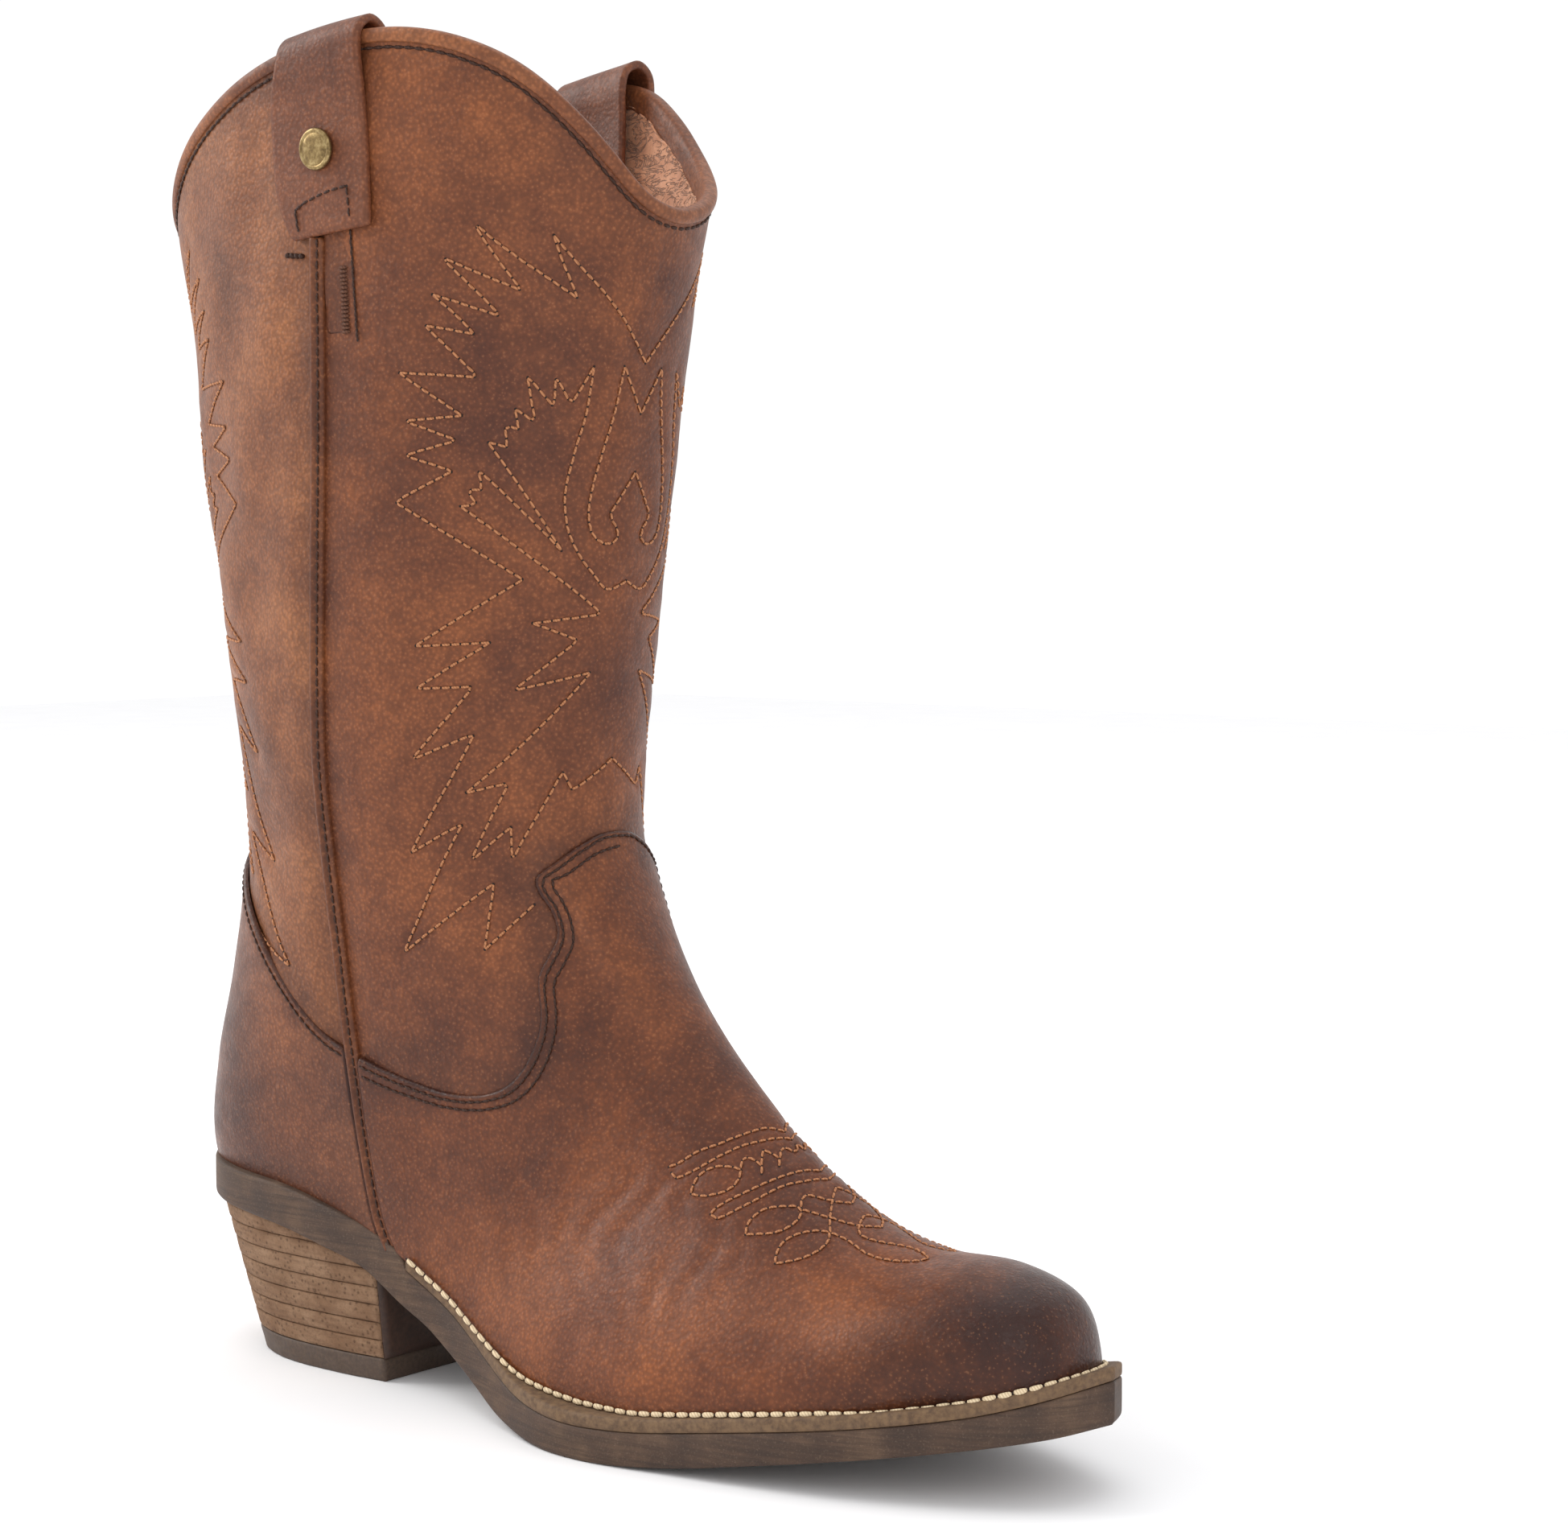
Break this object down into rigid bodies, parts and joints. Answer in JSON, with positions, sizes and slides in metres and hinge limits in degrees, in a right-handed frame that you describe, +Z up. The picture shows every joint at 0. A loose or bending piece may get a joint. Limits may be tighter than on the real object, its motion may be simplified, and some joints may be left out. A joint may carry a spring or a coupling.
{
  "type": "cowboy boot",
  "caption": "Right mid-calf western boot with side zip, pull straps, scalloped rim, pointed toe, stitched welt and stacked underslung heel.",
  "frame": {"origin": "middle of the heel's tread face, on the floor", "axes": "+X towards the toe, +Y towards the inner (zip) side, +Z up the leg"},
  "size_m": [0.2975, 0.1208, 0.353],
  "materials": {
    "vamp_leather": "oiled brown leather with darker patches, low sheen",
    "counter_leather": "oiled brown leather, darkened towards the heel",
    "shaft_leather": "oiled brown leather with darker patches, low sheen",
    "piping_leather": "brown leather strip",
    "binding_leather": "rolled brown leather edge",
    "strap_leather": "darker brown leather",
    "facing_leather": "dark brown leather strip",
    "lining_leather": "pinkish tan lining leather, matt",
    "guard_leather": "brown lining leather",
    "zip_tape": "dark brown woven tape",
    "zip_coil": "near-black moulded teeth",
    "zip_metal": "aged brass",
    "rivet_brass": "aged brass, soft shine",
    "outsole_rubber": "brown-grey rubber with fine scratches",
    "welt_leather": "tan welt with off-white stitches",
    "top_piece_rubber": "dark brown rubber",
    "stack_leather": "rough tan edge of stacked leather",
    "insole_board": "firm leather board",
    "cork": "ground cork, matt",
    "shank_steel": "spring steel strip",
    "nail_steel": "plain steel nails",
    "interlining_cloth": "bonded cloth",
    "stiffener_sheet": "moulded stiffener sheet"
  },
  "bodies": {
    "root": {"cork_filler": "cork", "counter": "counter_leather", "counter_stiffener": "stiffener_sheet", "foot_lining": "lining_leather", "footbed_sock": "lining_leather", "heel_lift_1": "stack_leather", "heel_lift_2": "stack_leather", "heel_lift_3": "stack_leather", "heel_lift_4": "stack_leather", "heel_lift_5": "stack_leather", "heel_lift_6": "stack_leather", "heel_lift_7": "stack_leather", "heel_lift_8": "stack_leather", "heel_nails": "nail_steel", "heel_top_piece": "top_piece_rubber", "insole": "insole_board", "outsole": "outsole_rubber", "pull_strap_lateral": "strap_leather", "pull_strap_medial": "strap_leather", "rim_binding": "binding_leather", "rivet_washer_lateral": "rivet_brass", "rivet_washer_medial": "rivet_brass", "shaft_back": "shaft_leather", "shaft_front": "shaft_leather", "shaft_lining": "lining_leather", "shank": "shank_steel", "side_piping_lateral": "piping_leather", "side_piping_medial_low": "piping_leather", "side_piping_medial_top": "piping_leather", "strap_rivet_lateral": "rivet_brass", "strap_rivet_medial": "rivet_brass", "strap_tab_lateral": "strap_leather", "strap_tab_medial": "strap_leather", "toe_puff": "stiffener_sheet", "vamp": "vamp_leather", "vamp_interlining": "interlining_cloth", "welt": "welt_leather", "zip_bottom_stop": "zip_metal", "zip_facing_front": "facing_leather", "zip_facing_rear": "facing_leather", "zip_guard": "guard_leather", "zip_tape_front": "zip_tape", "zip_tape_rear": "zip_tape", "zip_teeth_front": "zip_coil", "zip_teeth_rear": "zip_coil", "zip_top_stop": "zip_metal"},
    "zip_slider": {"zip_slider": "zip_metal"},
    "zip_pull": {"zip_pull": "zip_metal"}
  },
  "joints": [
    {"name": "zip_slide", "type": "slide", "parent": "root", "child": "zip_slider", "axis": [0.0284, 0.0948, 0.9951], "range_m": [-0.12, 0]},
    {"name": "zip_pull_hinge", "type": "hinge", "parent": "zip_slider", "child": "zip_pull", "pos_m": [0.03029, 0.04979, 0.21965], "axis": [0.9991, -0.0344, -0.0252], "range_deg": [0, 165]}
  ]
}
